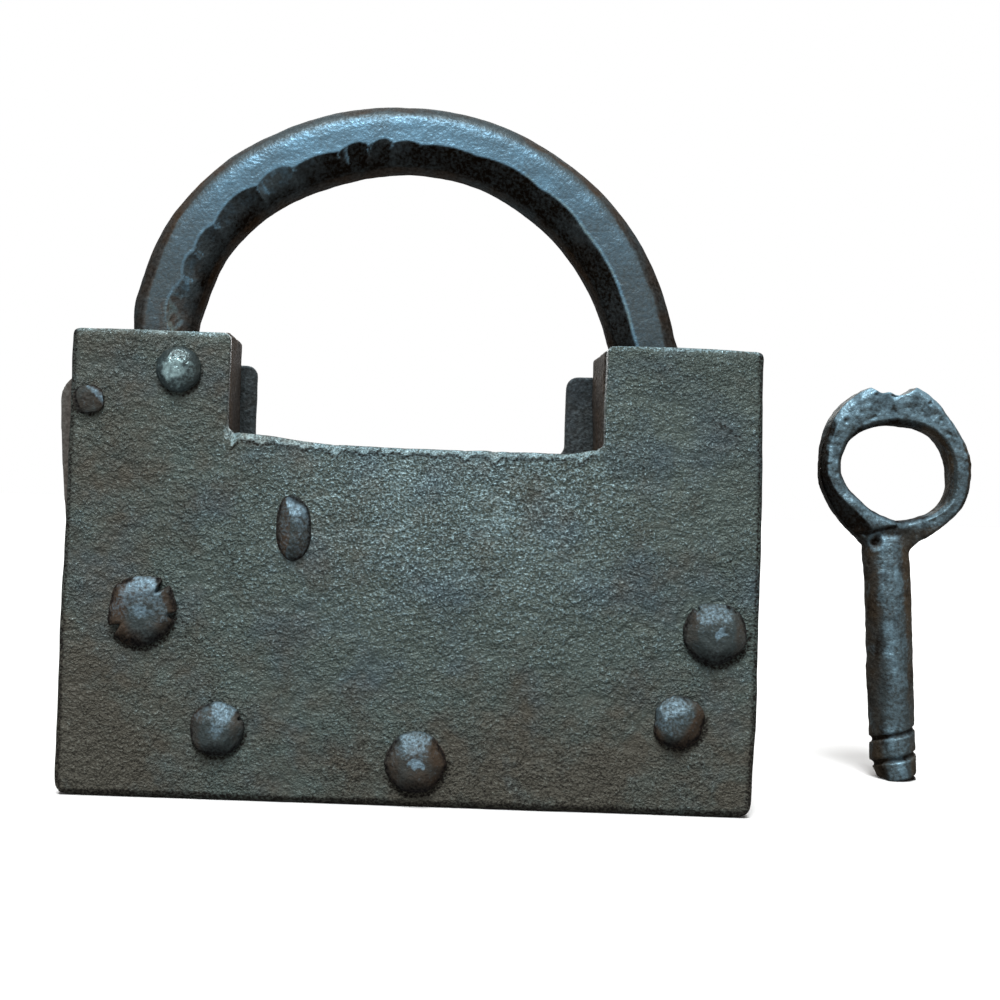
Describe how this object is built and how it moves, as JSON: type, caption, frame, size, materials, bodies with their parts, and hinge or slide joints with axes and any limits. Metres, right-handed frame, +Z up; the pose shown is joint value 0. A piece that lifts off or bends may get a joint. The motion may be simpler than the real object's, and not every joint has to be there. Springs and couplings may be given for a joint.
{
  "type": "padlock",
  "caption": "Rectangular forged iron padlock with a swinging arched shackle, a side keyhole under a pivoting cover, and a separate ring-bow screw key.",
  "frame": {"origin": "centre of the case's bottom face, halfway between its two plates", "axes": "+X to the right as seen from the front plate, from the hinge side to the free leg and on to the key; +Y from the front plate to the back plate; +Z up, towards the shackle"},
  "size_m": [0.2006, 0.0608, 0.1412],
  "materials": {
    "plate_iron": "dark brown-grey wrought iron, finely pitted, with a dull oiled sheen",
    "rim_iron": "brown rusted wrought iron, matt",
    "shackle_iron": "blue-grey forged iron with hammered facets",
    "rivet_iron": "hammered iron, worn brighter on the crowns",
    "inner_iron": "dark forged iron, unpolished",
    "key_iron": "dark forged iron, worn smooth by hands",
    "cover_iron": "brown wrought iron, worn at the edges"
  },
  "bodies": {
    "case": {"front_plate": "plate_iron", "back_plate": "plate_iron", "bottom_wall": "rim_iron", "left_wall": "rim_iron", "right_wall": "rim_iron", "notch_floor": "rim_iron", "notch_left_wall": "rim_iron", "notch_right_wall": "rim_iron", "rivet_left": "rivet_iron", "rivet_lower_left": "rivet_iron", "rivet_bottom": "rivet_iron", "rivet_lower_right": "rivet_iron", "rivet_right": "rivet_iron", "hinge_pin": "rivet_iron", "cover_pin": "rivet_iron", "hinge_collars": "inner_iron", "bridge": "rivet_iron", "nose_guide": "inner_iron", "stop_post": "inner_iron", "bolt_spring": "inner_iron"},
    "shackle": {"shackle": "shackle_iron"},
    "cover": {"keyhole_cover": "cover_iron"},
    "bolt": {"bolt": "inner_iron", "socket_stud": "inner_iron"},
    "key": {"key": "key_iron"}
  },
  "joints": [
    {"name": "shackle_hinge", "type": "hinge", "parent": "case", "child": "shackle", "pos_m": [-0.0474, 0, 0.0847], "axis": [0, -1, 0], "range_deg": [0, 40]},
    {"name": "cover_hinge", "type": "hinge", "parent": "case", "child": "cover", "pos_m": [-0.0652, 0, 0.0785], "axis": [0, 1, 0], "range_deg": [0, 95]},
    {"name": "bolt_slide", "type": "slide", "parent": "case", "child": "bolt", "axis": [1, 0, 0], "range_m": [0, 0.0075], "stiffness_N_per_m": 600, "springref_m": 0.0175, "deforming": ["bolt_spring"]},
    {"name": "key_lift", "type": "slide", "parent": "case", "child": "key", "axis": [0, 0, 1], "range_m": [0, 0.1]}
  ]
}
